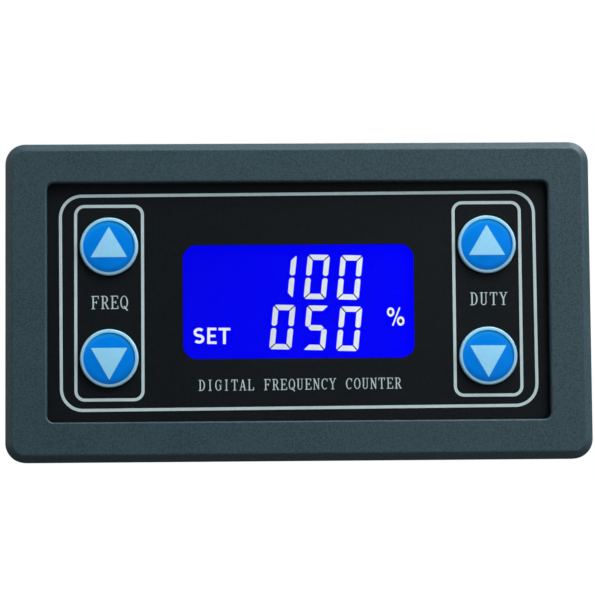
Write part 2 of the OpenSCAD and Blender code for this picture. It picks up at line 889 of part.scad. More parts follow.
// Outline of the right clip, seen from above: a tongue from its root, toothed near its tip
module clip_outline() {
    root_face = clip_root_x + clip_root_r;
    slope = (clip_tip_x - root_face) / (clip_root_y - clip_tip_y);
    function face(y) = root_face + slope * (clip_root_y - y);
    function tooth_y(i) = clip_tip_y + i * clip_tooth_pitch;
    teeth = [for (i = [0:clip_teeth - 1]) each [
        [face(tooth_y(i)), tooth_y(i)],
        [face(tooth_y(i + 1)) - clip_tooth, tooth_y(i + 1) - EPS]
    ]];
    end = tooth_y(clip_teeth);
    tip = [[face(clip_tip_y) - clip_t, clip_tip_y]];
    root = [[face(end), end], [root_face, clip_root_y], [clip_root_x - clip_root_r / 2, clip_root_y]];
    polygon(concat(tip, teeth, root));
    translate([clip_root_x, clip_root_y]) circle(clip_root_r);
}

module right_clip() {
    color("#333f45") translate([0, 0, -clip_h / 2]) linear_extrude(clip_h) clip_outline();
}

module left_clip() {
    mirror([1, 0, 0]) right_clip();
}

// ---- nodes ----

case_body();
rear_cover();
front_film();
display_window();
for (b = BUTTONS) {
    button(b[1], b[2]);
    plunger(b[1], b[2]);
}
switch_bases();
switch_covers();
switch_domes();
switch_legs();
lcd_front_polarizer();
lcd_front_glass();
lcd_rear_glass();
lcd_rear_polarizer();
lcd_pins();
backlight_guide();
backlight_leds();
backlight_legs();
display_holder();
circuit_board();
board_screws();
microcontroller();
microcontroller_leads();
driver_chip();
driver_chip_leads();
voltage_regulator();
voltage_regulator_leads();
crystal_can();
crystal_leads();
input_capacitor();
input_capacitor_base();
input_capacitor_leads();
protection_diode();
protection_diode_leads();
chip_resistors();
chip_capacitors();
chip_terminations();
terminal_block();
terminal_contacts();
for (i = [0:clamps - 1]) {
    clamp_screw(i);
    clamp_cage(i);
}
left_clip();
right_clip();
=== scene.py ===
"""Looks of a panel-mounted frequency counter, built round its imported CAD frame.

Blender works in metres. Outlines of print and of the display are in millimetres, x to the right and z up.
"""

import math

import bmesh
import bpy
from mathutils import Matrix, Vector
from mathutils.bvhtree import BVHTree
from mathutils.geometry import delaunay_2d_cdt


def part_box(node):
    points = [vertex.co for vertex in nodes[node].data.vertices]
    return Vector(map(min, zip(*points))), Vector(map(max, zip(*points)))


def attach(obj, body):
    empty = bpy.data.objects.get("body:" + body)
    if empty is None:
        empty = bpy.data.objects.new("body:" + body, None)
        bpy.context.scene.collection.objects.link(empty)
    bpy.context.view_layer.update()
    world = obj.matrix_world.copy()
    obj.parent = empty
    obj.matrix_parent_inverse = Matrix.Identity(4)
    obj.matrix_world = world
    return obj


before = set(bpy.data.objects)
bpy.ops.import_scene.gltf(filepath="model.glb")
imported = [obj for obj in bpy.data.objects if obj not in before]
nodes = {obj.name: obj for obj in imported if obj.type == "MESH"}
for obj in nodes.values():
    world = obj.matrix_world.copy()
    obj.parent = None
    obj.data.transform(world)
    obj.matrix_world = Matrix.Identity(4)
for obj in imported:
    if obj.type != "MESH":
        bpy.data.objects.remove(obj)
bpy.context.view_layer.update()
scene = bpy.context.scene
MM = 0.001
KEYS = ("freq_up", "freq_down", "duty_up", "duty_down")


def srgb(*levels):
    """Scene-linear colour from 0-255 display levels."""
    out = []
    for v in levels:
        c = v / 255
        out.append(c / 12.92 if c <= 0.04045 else ((c + 0.055) / 1.055) ** 2.4)
    return tuple(out)


# ---- camera ----

VIEW_DISTANCE = 350 * MM
VIEW_YAW, VIEW_PITCH, VIEW_ROLL = (math.radians(a) for a in (1.52, -4.57, -0.49))
VIEW_OFFSET_X, VIEW_OFFSET_Z = 0.10 * MM, -0.68 * MM
LENS = 155.96
SENSOR = 36


def add_camera():
    """The camera of the photograph: a little to one side, below the object and rolled."""
    turn = (
        Matrix.Rotation(VIEW_ROLL, 3, "Y")
        @ Matrix.Rotation(VIEW_PITCH, 3, "X")
        @ Matrix.Rotation(VIEW_YAW, 3, "Z")
    )
    right, forward, up = turn.row[0], turn.row[1], turn.row[2]
    place = -(turn.transposed() @ Vector((VIEW_OFFSET_X, VIEW_DISTANCE, VIEW_OFFSET_Z)))
    axes = Matrix((right, up, -forward)).transposed()
    data = bpy.data.cameras.new("camera")
    data.sensor_width = SENSOR
    data.lens = LENS
    data.clip_start, data.clip_end = 0.01, 10
    camera = bpy.data.objects.new("camera", data)
    camera.matrix_world = Matrix.Translation(place) @ axes.to_4x4()
    scene.collection.objects.link(camera)
    scene.camera = camera


add_camera()
scene.view_settings.view_transform = "Standard"


# ---- node helpers ----

NOISE_ROUGHNESS = 0.55


class Tree:
    """A short way to write shader nodes: values are numbers, colours or sockets."""

    def __init__(self, owner):
        owner.use_nodes = True
        self.tree = owner.node_tree
        self.tree.nodes.clear()

    def add(self, kind, inputs=None, out=0, **settings):
        """A node with its inputs set or linked; returns one of its outputs."""
        node = self.tree.nodes.new(kind)
        for name, value in settings.items():
            setattr(node, name, value)
        for name, value in (inputs or {}).items():
            socket = node.inputs[name]
            if isinstance(value, bpy.types.NodeSocket):
                self.tree.links.new(value, socket)
            elif isinstance(value, tuple) and len(value) == 3 and socket.type == "RGBA":
                socket.default_value = (*value, 1)
            else:
                socket.default_value = value
        return node.outputs[out] if node.outputs else None

    def place(self):
        """The CAD position, in metres."""
        return self.add("ShaderNodeTexCoord", out="Object")

    def axis(self, name):
        """One coordinate of the CAD position."""
        return self.add("ShaderNodeSeparateXYZ", {0: self.place()}, out=name)

    def noise(self, scale, detail=3.0, stretch=None):
        """Noise from 0 to 1, with scale features to a metre; a low stretch draws it out."""
        where = self.place()
        if stretch:
            where = self.add("ShaderNodeMapping", {"Vector": where, "Scale": stretch})
        return self.add(
            "ShaderNodeTexNoise",
            {"Vector": where, "Scale": scale, "Detail": detail, "Roughness": NOISE_ROUGHNESS},
            out="Fac",
        )

    def span(self, value, low, high, to_low=0.0, to_high=1.0):
        """The value's range from low to high, brought to another range and clamped."""
        return self.add(
            "ShaderNodeMapRange",
            {"Value": value, "From Min": low, "From Max": high, "To Min": to_low, "To Max": to_high},
        )

    def spread(self, noise, to_low=0.0, to_high=1.0):
        """A noise, most of which lies between 0.3 and 0.7, brought to a range."""
        return self.span(noise, 0.3, 0.7, to_low, to_high)

    def math(self, operation, a, b=0.0):
        return self.add("ShaderNodeMath", {0: a, 1: b}, operation=operation)

    def mix(self, share, a, b):
        """Colour a at share 0, colour b at share 1."""
        return self.add(
            "ShaderNodeMix", {0: share, 6: a, 7: b}, out=2, data_type="RGBA", clamp_factor=True
        )

    def bump(self, height, strength, distance):
        """A normal tilted by a height of 0 to 1 that stands for the distance."""
        inputs = {"Height": height, "Strength": strength, "Distance": distance}
        return self.add("ShaderNodeBump", inputs)

    def surface(self, **inputs):
        """The material's shader; input names have _ for a space."""
        named = {k.replace("_", " "): v for k, v in inputs.items()}
        shader = self.add("ShaderNodeBsdfPrincipled", named)
        self.add("ShaderNodeOutputMaterial", {"Surface": shader})


def shade(color, factor):
    """The colour, darker below factor 1 and lighter above it."""
    return tuple(min(1.0, c * factor) for c in color)


def moulded(name, color, roughness=0.5, grain=2600, depth=0.006, variation=0.12, specular=0.5):
    """Moulded plastic with a fine spark texture, faint mottling and slightly uneven gloss.
    The depth of the texture is in mm."""
    made = bpy.data.materials.new(name)
    t = Tree(made)
    fine = t.noise(grain, detail=2)
    coarse = t.noise(140, detail=4)
    speck = t.spread(fine)
    tone = t.mix(speck, shade(color, 1 - variation), shade(color, 1 + variation))
    drift = t.spread(coarse, 0, 0.35)
    tone = t.mix(drift, tone, shade(color, 1.14))
    gloss = t.span(coarse, 0.25, 0.75, roughness - 0.05, roughness + 0.06)
    bump = t.bump(fine, 0.5, depth * MM)
    t.surface(Base_Color=tone, Roughness=gloss, Normal=bump, Specular_IOR_Level=specular)
    return made


def metal(name, color, roughness=0.3, stretch=(1, 1, 1), scratch=1500, depth=0.002, tarnish=0.25):
    """Metal with directional scratches, their depth in mm, and patches of duller, darker surface."""
    made = bpy.data.materials.new(name)
    t = Tree(made)
    lines = t.noise(scratch, detail=4, stretch=stretch)
    patches = t.noise(260, detail=5)
    dull = t.span(patches, 0.35, 0.7)
    tone = t.mix(dull, color, shade(color, 1 - tarnish))
    tone = t.mix(t.span(lines, 0.4, 0.7, 0, 0.3), tone, shade(color, 1.15))
    gloss = t.spread(patches, roughness - 0.06, roughness + 0.14)
    bump = t.bump(lines, 0.4, depth * MM)
    t.surface(Base_Color=tone, Roughness=gloss, Normal=bump, Metallic=1.0)
    return made


# ---- materials of the front ----

CASE_TONE = srgb(41, 61, 69)
FILM_TONE = srgb(9, 15, 19)
INK_TONE = srgb(172, 192, 196)
KEY_TONE = srgb(0, 122, 220)
# painted shade: the lower part of each key face is darker, as if lit from above
KEY_SHADED_TONE = srgb(0, 109, 200)
# painted highlight and painted shade along the upper and lower inside of each key's rim
KEY_HIGHLIGHT_EDGE_TONE = srgb(30, 156, 226)
KEY_SHADED_EDGE_TONE = srgb(4, 86, 156)
RIM_TONE = srgb(138, 196, 222)
# painted shade: the lower part of each key's pale rim is greyer
RIM_SHADED_TONE = srgb(118, 165, 186)
ARROW_TONE = srgb(136, 200, 233)


def film_material():
    """Black screen-printed film: a satin face with fine ink grain and faint rub marks."""
    made = bpy.data.materials.new("film_black")
    t = Tree(made)
    grain = t.noise(5200, detail=2)
    rubs = t.noise(90, detail=5, stretch=(1, 1, 0.4))
    tone = t.mix(t.spread(grain), shade(FILM_TONE, 0.6), shade(FILM_TONE, 1.45))
    gloss = t.spread(rubs, 0.46, 0.58)
    bump = t.bump(grain, 0.3, 0.003 * MM)
    t.surface(Base_Color=tone, Roughness=gloss, Normal=bump, Specular_IOR_Level=0.12)
    return made


def ink_material(name, color):
    """Printed ink: a slightly uneven, matt layer."""
    variation = 0.06
    made = bpy.data.materials.new(name)
    t = Tree(made)
    grain = t.noise(3800, detail=3)
    cloud = t.noise(300, detail=3)
    tone = t.mix(t.spread(grain), shade(color, 1 - variation), shade(color, 1 + variation))
    tone = t.mix(t.span(cloud, 0.35, 0.7, 0, 0.4), tone, shade(color, 1 - 2 * variation))
    bump = t.bump(grain, 0.3, 0.002 * MM)
    t.surface(Base_Color=tone, Roughness=0.6, Normal=bump, Specular_IOR_Level=0.3)
    return made


def key_material():
    """Blue keycap with a pale rim, with painted light: each face is darker towards the bottom,
    with a painted highlight along the upper inside of the rim and painted shade along its lower inside,
    and the rim is greyer towards the bottom. Every key lies at the same distance from the middle planes,
    so the distance from one key's axis, taken without sign, draws the rim of all four."""
    # the pale rim is printed colour, but it starts a little inside the rim, on its inner wall, where it
    # is also painted light over that wall's shadow
    rim_inside, rim_outside = 3.43 * MM, 3.57 * MM
    face_front, face_back = -2.2 * MM, -2.15 * MM
    face_radius = 3.4 * MM
    edge_inside, edge_outside = 2.7 * MM, 3.45 * MM
    edge_start = 0.4 * MM
    made = bpy.data.materials.new("key_blue")
    t = Tree(made)
    low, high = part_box("duty_up_button")
    centre = (low + high) / 2
    side = t.axis("Z")
    across = t.math("SUBTRACT", t.math("ABSOLUTE", t.axis("X")), centre.x)
    upward = t.math("SUBTRACT", t.math("ABSOLUTE", side), centre.z)
    radius = t.math(
        "SQRT", t.math("ADD", t.math("MULTIPLY", across, across), t.math("MULTIPLY", upward, upward))
    )
    rim = t.span(radius, rim_inside, rim_outside)
    face = t.span(t.axis("Y"), face_front, face_back, 1, 0)
    rim = t.math("MULTIPLY", rim, face)
    grain = t.noise(4200, detail=2)
    cloud = t.noise(420, detail=4)
    height = t.math("MULTIPLY", upward, t.math("SIGN", side))
    lit_from_above = t.span(height, -face_radius, face_radius)
    # painted shade: the face darkens from top to bottom
    blue = t.mix(lit_from_above, KEY_SHADED_TONE, KEY_TONE)
    blue = t.mix(t.spread(grain, 0, 0.25), blue, shade(KEY_TONE, 0.8))
    blue = t.mix(t.span(cloud, 0.35, 0.7, 0, 0.3), blue, shade(KEY_TONE, 1.15))
    # painted highlight along the upper inside of the rim, painted shade along its lower inside
    edge = t.span(radius, edge_inside, edge_outside)
    highlight_edge = t.math("MULTIPLY", edge, t.span(height, edge_start, face_radius))
    shaded_edge = t.math("MULTIPLY", edge, t.span(height, -edge_start, -face_radius))
    blue = t.mix(highlight_edge, blue, KEY_HIGHLIGHT_EDGE_TONE)
    blue = t.mix(shaded_edge, blue, KEY_SHADED_EDGE_TONE)
    # painted shade: the pale rim greys towards the bottom
    pale = t.mix(lit_from_above, RIM_SHADED_TONE, RIM_TONE)
    pale = t.mix(t.spread(cloud, 0, 0.1), pale, (1.0, 1.0, 1.0))
    tone = t.mix(rim, blue, pale)
    bump = t.bump(grain, 0.3, 0.002 * MM)
    t.surface(Base_Color=tone, Roughness=0.34, Normal=bump, Specular_IOR_Level=0.08)
    return made


def lit_blue_material():
    """Front polarizer over the lit liquid crystal: deep blue that brightens towards the right
    and in soft patches."""
    made = bpy.data.materials.new("lcd_blue")
    t = Tree(made)
    low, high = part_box("lcd_front_polarizer")
    glow = t.span(t.axis("X"), low.x, high.x)
    cloud = t.noise(170, detail=3)
    patch = t.noise(60, detail=2)
    glow = t.math("ADD", glow, t.spread(patch, -0.12, 0.12))
    tone = t.mix(glow, srgb(0, 0, 234), srgb(0, 0, 255))
    tone = t.mix(t.span(cloud, 0.35, 0.7, 0, 0.10), tone, srgb(0, 2, 222))
    gloss = t.spread(cloud, 0.28, 0.36)
    t.surface(
        Base_Color=(0.0, 0.0, 0.02),
        Roughness=gloss,
        Specular_IOR_Level=0.1,
        Emission_Color=tone,
        Emission_Strength=1.0,
    )
    return made


def segment_material(name, left, right):
    """Clear parts of the display with the backlight behind them, from a left to a right colour."""
    made = bpy.data.materials.new(name)
    t = Tree(made)
    low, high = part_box("lcd_front_polarizer")
    cloud = t.noise(900, detail=3)
    glow = t.span(t.axis("X"), low.x * 0.5, high.x * 0.6)
    tone = t.mix(glow, left, right)
    tone = t.mix(t.span(cloud, 0.35, 0.7, 0, 0.35), tone, shade(left, 0.86))
    t.surface(
        Base_Color=(0.02, 0.02, 0.02),
        Roughness=0.4,
        Specular_IOR_Level=0.1,
        Emission_Color=tone,
        Emission_Strength=1.0,
    )
    return made


def dull_film_material():
    """Rear polarizer: grey plastic film with a silky scattering face."""
    made = bpy.data.materials.new("polarizer_grey")
    t = Tree(made)
    silk = t.noise(2400, detail=3, stretch=(1, 1, 0.2))
    cloud = t.noise(200, detail=3)
    tone = t.mix(t.spread(silk), srgb(92, 96, 108), srgb(112, 117, 130))
    tone = t.mix(t.span(cloud, 0.35, 0.7, 0, 0.3), tone, srgb(84, 90, 112))
    bump = t.bump(silk, 0.3, 0.002 * MM)
    t.surface(Base_Color=tone, Roughness=t.spread(cloud, 0.24, 0.34), Normal=bump)
    return made


def segment_shadow_material():
    """Painted segment shadow: dark bluish sheets that show in the gaps between the segments."""
    made = bpy.data.materials.new("lcd_segment_shadow")
    t = Tree(made)
    cloud = t.noise(900, detail=2)
    tone = t.mix(t.spread(cloud), srgb(22, 36, 62), srgb(34, 48, 70))
    t.surface(
        Base_Color=(0.01, 0.01, 0.02),
        Roughness=0.5,
        Specular_IOR_Level=0.1,
        Emission_Color=tone,
        Emission_Strength=1.0,
    )
    return made


def window_material():
    """Clear acrylic with hairline scratches that only show in its gloss."""
    made = bpy.data.materials.new("window_acrylic")
    t = Tree(made)
    lines = t.noise(1400, detail=4, stretch=(1, 1, 0.08))
    gloss = t.span(lines, 0.45, 0.75, 0.02, 0.08)
    tint = t.mix(t.spread(lines), (0.97, 0.98, 1.0), (1.0, 1.0, 1.0))
    t.surface(
        Base_Color=tint, Roughness=gloss, Transmission_Weight=1.0, IOR=1.3, Specular_IOR_Level=0.3
    )
    return made


# ---- materials behind the front ----


def glass_material():
    """Greenish glass of the display's two plates, with a little dust."""
    made = bpy.data.materials.new("cell_glass")
    t = Tree(made)
    dust = t.noise(2400, detail=4)
    tint = t.mix(t.span(dust, 0.4, 0.7), (0.78, 0.9, 0.86), (0.7, 0.84, 0.8))
    gloss = t.span(dust, 0.4, 0.75, 0.03, 0.16)
    t.surface(Base_Color=tint, Roughness=gloss, Transmission_Weight=1.0, IOR=1.5)
    return made


def guide_material():
    """Milky light guide with rows of small dots that scatter the light."""
    made = bpy.data.materials.new("guide_acrylic")
    t = Tree(made)
    dots = t.add(
        "ShaderNodeTexVoronoi", {"Vector": t.place(), "Scale": 900.0, "Randomness": 0.15}, out="Distance"
    )
    share = t.span(dots, 0.25, 0.32)
    tone = t.mix(share, (0.95, 0.97, 1.0), (0.74, 0.82, 0.95))
    bump = t.bump(dots, 0.3, 0.01 * MM)
    t.surface(Base_Color=tone, Roughness=0.35, Normal=bump, Transmission_Weight=0.35, IOR=1.49)
    return made


def board_material():
    """Green solder mask over straight copper tracks, with bare pale vias."""
    track_w = 0.11
    made = bpy.data.materials.new("board_laminate")
    t = Tree(made)
    x, z = t.axis("X"), t.axis("Z")

    def tracks(along, across, length, pitch, offset):
        """Rows of straight tracks with short links between them, in mm."""
        flat = t.add("ShaderNodeCombineXYZ", {"X": along, "Y": across})
        sizes = {"Scale": 1 / MM, "Mortar Size": track_w, "Brick Width": length, "Row Height": pitch}
        return t.add("ShaderNodeTexBrick", {"Vector": flat, **sizes}, out="Fac", offset=offset)

    region = t.noise(150, detail=1)
    lying = t.math("MULTIPLY", tracks(x, z, 6.5, 0.9, 0.37), t.span(region, 0.44, 0.442))
    upright = t.math("MULTIPLY", tracks(z, x, 8.5, 1.3, 0.61), t.span(region, 0.55, 0.548))
    copper = t.math("MAXIMUM", lying, upright)
    vias = t.add(
        "ShaderNodeTexVoronoi", {"Vector": t.place(), "Scale": 260.0, "Randomness": 1.0}, out="Distance"
    )
    weave = t.noise(2600, detail=2, stretch=(1, 1, 0.3))
    mask = t.mix(t.spread(weave), (0.008, 0.075, 0.036), (0.012, 0.095, 0.045))
    over_copper = t.mix(t.spread(weave), (0.02, 0.17, 0.07), (0.028, 0.2, 0.085))
    tone = t.mix(copper, mask, over_copper)
    pad = t.span(vias, 0.10, 0.115, 1, 0)
    tone = t.mix(pad, tone, (0.55, 0.5, 0.4))
    step = t.math("ADD", copper, pad)
    bump = t.bump(step, 0.6, 0.03 * MM)
    t.surface(Base_Color=tone, Roughness=0.32, Normal=bump, Coat_Weight=0.3, Coat_Roughness=0.2)
    return made


def resin_material(name, color):
    """Mould compound of a chip package: matt, with glass filler that glints a little."""
    made = bpy.data.materials.new(name)
    t = Tree(made)
    fill = t.noise(6000, detail=2)
    flow = t.noise(500, detail=4, stretch=(1, 1, 0.3))
    tone = t.mix(t.span(fill, 0.55, 0.75), color, shade(color, 1.6))
    tone = t.mix(t.spread(flow, 0, 0.4), tone, shade(color, 1.3))
    gloss = t.spread(flow, 0.5, 0.64)
    bump = t.bump(fill, 0.5, 0.004 * MM)
    t.surface(Base_Color=tone, Roughness=gloss, Normal=bump)
    return made


FINISHES = {
    "case_plastic": moulded(
        "case_grey", CASE_TONE, 0.5, grain=4300, depth=0.026, variation=0.42, specular=0.3
    ),
    "cover_plastic": moulded(
        "cover_grey", shade(CASE_TONE, 0.92), 0.5, grain=4000, depth=0.022, variation=0.35, specular=0.35
    ),
    "clip_plastic": moulded(
        "clip_grey", shade(CASE_TONE, 1.05), 0.42, grain=4200, depth=0.01, variation=0.35, specular=0.4
    ),
    "film_print": film_material(),
    "window_clear": window_material(),
    "button_plastic": key_material(),
    "switch_plastic": moulded("switch_black", srgb(34, 36, 38), 0.45, grain=3500, depth=0.004),
    "switch_steel": metal("switch_steel", (0.62, 0.63, 0.64), 0.26, stretch=(1, 1, 0.15)),
    "tinned_metal": metal("tinned_leads", (0.7, 0.7, 0.69), 0.24, scratch=2600, tarnish=0.18),
    "polarizer": lit_blue_material(),
    "lcd_glass": glass_material(),
    "guide_acrylic": guide_material(),
    "led_resin": moulded(
        "led_resin", srgb(238, 232, 196), 0.3, grain=3000, depth=0.003, variation=0.05
    ),
    "holder_plastic": moulded("holder_white", srgb(226, 228, 226), 0.5, grain=2600, variation=0.04),
    "board_laminate": board_material(),
    "screw_steel": metal("screw_steel", (0.58, 0.58, 0.56), 0.3, stretch=(1, 0.2, 1), depth=0.004),
    "cage_steel": metal("cage_steel", (0.5, 0.51, 0.5), 0.36, stretch=(0.2, 1, 1), depth=0.004),
    "contact_brass": metal("contact_brass", (0.72, 0.5, 0.22), 0.3, stretch=(1, 1, 0.2), depth=0.003),
    "chip_resin": resin_material("chip_resin", srgb(38, 38, 40)),
    "can_metal": metal("can_metal", (0.68, 0.69, 0.7), 0.28, stretch=(1, 0.1, 1), scratch=900),
    "ceramic": moulded("ceramic_tan", srgb(168, 132, 96), 0.45, grain=4000, depth=0.003, variation=0.08),
    "terminal_plastic": moulded("terminal_green", srgb(24, 112, 62), 0.42, grain=2200, depth=0.006),
}
INK = ink_material("ink_pale", INK_TONE)
ARROW_INK = ink_material("ink_arrow", ARROW_TONE)
SEGMENT_LIGHT = segment_material("lcd_segment", srgb(208, 214, 220), srgb(238, 245, 252))
SIGN_LIGHT = segment_material("lcd_sign", srgb(238, 240, 250), srgb(240, 243, 250))
# painted shadow of the segments, which shows in their gaps
SEGMENT_SHADOW = segment_shadow_material()

for node in nodes.values():
    slot_name = node.data.materials[0].name.split(".")[0]
    node.data.materials.clear()
    node.data.materials.append(FINISHES[slot_name])
    node.data.update()
# both polarizers share a slot, but only the front one shows the lit picture
rear_polarizer = nodes["lcd_rear_polarizer"].data
rear_polarizer.materials.clear()
rear_polarizer.materials.append(dull_film_material())


# ---- flat printed shapes ----

SMALLEST_AREA = 1e-5
SMALLEST_STEP = 1e-4
MERGE_DISTANCE = 1e-5
AREA_ERROR = 1.001


def bar(p, q, width):
    """A straight stroke from p to q, as one polygon."""
    p, q = Vector(p), Vector(q)
    side = (q - p).orthogonal().normalized() * (width / 2)
    return [p - side, q - side, q + side, p + side]


def rect(x0, y0, x1, y1):
    """An upright rectangle from its lower left to its upper right corner."""
    return [Vector(c) for c in ((x0, y0), (x1, y0), (x1, y1), (x0, y1))]


def ribbon(outer, inner, closed=False):
    """Quads between two lists of points of the same length."""
    last = len(outer) if closed else len(outer) - 1
    quads = []
    for i in range(last):
        j = (i + 1) % len(outer)
        quads.append([Vector(c) for c in (outer[i], outer[j], inner[j], inner[i])])
    return quads


def arc(cx, cy, rx, ry, start, end, thick_x, thick_y, steps=14):
    """Part of an elliptical stroke, from start to end in degrees, thick_x wide at its sides."""
    outer, inner = [], []
    for i in range(steps + 1):
        a = math.radians(start + (end - start) * i / steps)
        c, s = math.cos(a), math.sin(a)
        outer.append((cx + rx * c, cy + ry * s))
        inner.append((cx + (rx - thick_x) * c, cy + (ry - thick_y) * s))
    return ribbon(outer, inner)


def stroke(points, width):
    """A bent stroke of even width along points."""
    points = [Vector(p) for p in points]
    points = points[:1] + [b for a, b in zip(points, points[1:]) if (b - a).length > SMALLEST_STEP]
    left, right = [], []
    for i, p in enumerate(points):
        before = points[max(i - 1, 0)]
        after = points[min(i + 1, len(points) - 1)]
        side = (after - before).orthogonal().normalized() * (width / 2)
        left.append(p + side)
        right.append(p - side)
    return ribbon(left, right)


def round_outline(x0, z0, x1, z1, radius, steps=10):
    """Points of a rounded rectangle, anticlockwise."""
    points = []
    corners = ((x1, z1, 0), (x0, z1, 90), (x0, z0, 180), (x1, z0, 270))
    for x, z, start in corners:
        cx = x - math.copysign(radius, x - (x0 + x1) / 2)
        cz = z - math.copysign(radius, z - (z0 + z1) / 2)
        for i in range(steps + 1):
            a = math.radians(start + 90 * i / steps)
            points.append((cx + radius * math.cos(a), cz + radius * math.sin(a)))
    return points


def frame_line(x0, z0, x1, z1, radius, width):
    """A closed line of the given width along a rounded rectangle."""
    h = width / 2
    outer = round_outline(x0 - h, z0 - h, x1 + h, z1 + h, radius + h)
    inner = round_outline(x0 + h, z0 + h, x1 - h, z1 - h, radius - h)
    return ribbon(outer, inner, closed=True)


def moved(polygons, scale=1.0, turn=0.0, shear=0.0, at=(0.0, 0.0)):
    """Copies of the polygons, scaled, slanted, turned by an angle in degrees and placed."""
    c, s = math.cos(math.radians(turn)), math.sin(math.radians(turn))
    lean = math.tan(math.radians(shear))
    out = []
    for polygon in polygons:
        points = []
        for p in polygon:
            x, y = (p[0] + p[1] * lean) * scale, p[1] * scale
            points.append(Vector((at[0] + x * c - y * s, at[1] + x * s + y * c)))
        out.append(points)
    return out


def area_of(polygon):
    """Signed area, positive if the polygon runs anticlockwise."""
    pairs = zip(polygon[-1:] + polygon[:-1], polygon)
    return sum(a[0] * b[1] - b[0] * a[1] for a, b in pairs) / 2


def surface_under(node):
    """A function from x and z in mm to the y in mm where a CAD node's front face is."""
    data = nodes[node].data
    tree = BVHTree.FromPolygons([v.co for v in data.vertices], [f.vertices for f in data.polygons])
    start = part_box(node)[0].y - MM

    def y_at(x, z):
        return tree.ray_cast(Vector((x * MM, start, z * MM)), Vector((0, 1, 0)))[0].y / MM

    return y_at


def grid_over(polygons, pitch):
    """Points of a square grid over the polygons' box, in mm."""
    xs = [p[0] for polygon in polygons for p in polygon]
    zs = [p[1] for polygon in polygons for p in polygon]
    across = int((max(xs) - min(xs)) / pitch)
    upward = int((max(zs) - min(zs)) / pitch)
    return [
        Vector((min(xs) + (i + 0.5) * pitch, min(zs) + (j + 0.5) * pitch))
        for i in range(across)
        for j in range(upward)
    ]


def divided(polygon, pitch):
    """The polygon with points added along its sides, no further apart than the pitch."""
    points = []
    for p, q in zip(polygon, polygon[1:] + polygon[:1]):
        parts = max(1, math.ceil((q - p).length / pitch))
        points += [p.lerp(q, i / parts) for i in range(parts)]
    return points


def printed(name, polygons, y_front, thickness, body, finish, grid=0):
    """One thin solid from flat polygons in mm that may overlap, facing -Y, riding on a body.
    y_front is a number, or a function of x and z for a curved face; there, grid is the spacing
    of extra points with which the solid follows the curve."""
    y_at = y_front if callable(y_front) else lambda x, z: y_front
    points, faces, total = [], [], 0.0
    for polygon in polygons:
        area = area_of(polygon)
        total += abs(area)
        if abs(area) < SMALLEST_AREA:
            continue
        polygon = polygon if area > 0 else polygon[::-1]
        polygon = divided(polygon, grid) if grid else polygon
        faces.append(list(range(len(points), len(points) + len(polygon))))
        points.extend(polygon)
    if grid:
        points += grid_over(polygons, grid)
    verts, _, tris, _, _, sources = delaunay_2d_cdt(points, [], faces, 0, MERGE_DISTANCE, True)
    tris = [t for t, source in zip(tris, sources) if source]
    covered = sum(abs(area_of([verts[i] for i in t])) for t in tris)
    if covered > total * AREA_ERROR:
        raise ValueError(f"{name}: its outline leaked, {covered:.2f} of {total:.2f} square mm")
    mesh = bmesh.new()
    used = {i for t in tris for i in t}
    front, back = {}, {}
    for i in sorted(used):
        x, z = verts[i]
        y = y_at(x, z)
        front[i] = mesh.verts.new((x * MM, y * MM, z * MM))
        back[i] = mesh.verts.new((x * MM, (y + thickness) * MM, z * MM))
    for t in tris:
        mesh.faces.new([front[i] for i in t])
        mesh.faces.new([back[i] for i in reversed(t)])
    edges = [(t[i], t[(i + 1) % 3]) for t in tris for i in range(3)]
    both_ways = set(edges)
    for a, b in edges:
        if (b, a) not in both_ways:
            mesh.faces.new([front[b], front[a], back[a], back[b]])
    bmesh.ops.recalc_face_normals(mesh, faces=mesh.faces)
    data = bpy.data.meshes.new(name)
    mesh.to_mesh(data)
    mesh.free()
    data.materials.append(finish)
    piece = bpy.data.objects.new(name, data)
    scene.collection.objects.link(piece)
    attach(piece, body)


# ---- letters, one cap height tall ----

STEM, HAIR, FOOT = 0.105, 0.058, 0.052
TICK = 0.06
LETTER_W = 0.62


def serif(x, y, reach=0.14):
    """A flat foot at the bottom (y 0) or top (y 1) of a stem."""
    low = y if y < 0.5 else y - FOOT
    return rect(x - reach, low, x + reach, low + FOOT)


def stem(x, low=0.0, high=1.0, width=STEM):
    """An upright stroke, centred on x."""
    return rect(x - width / 2, low, x + width / 2, high)


def tick(x, y0, y1):
    """The small upright end of a horizontal arm."""
    return rect(x - TICK / 2, y0, x + TICK / 2, y1)


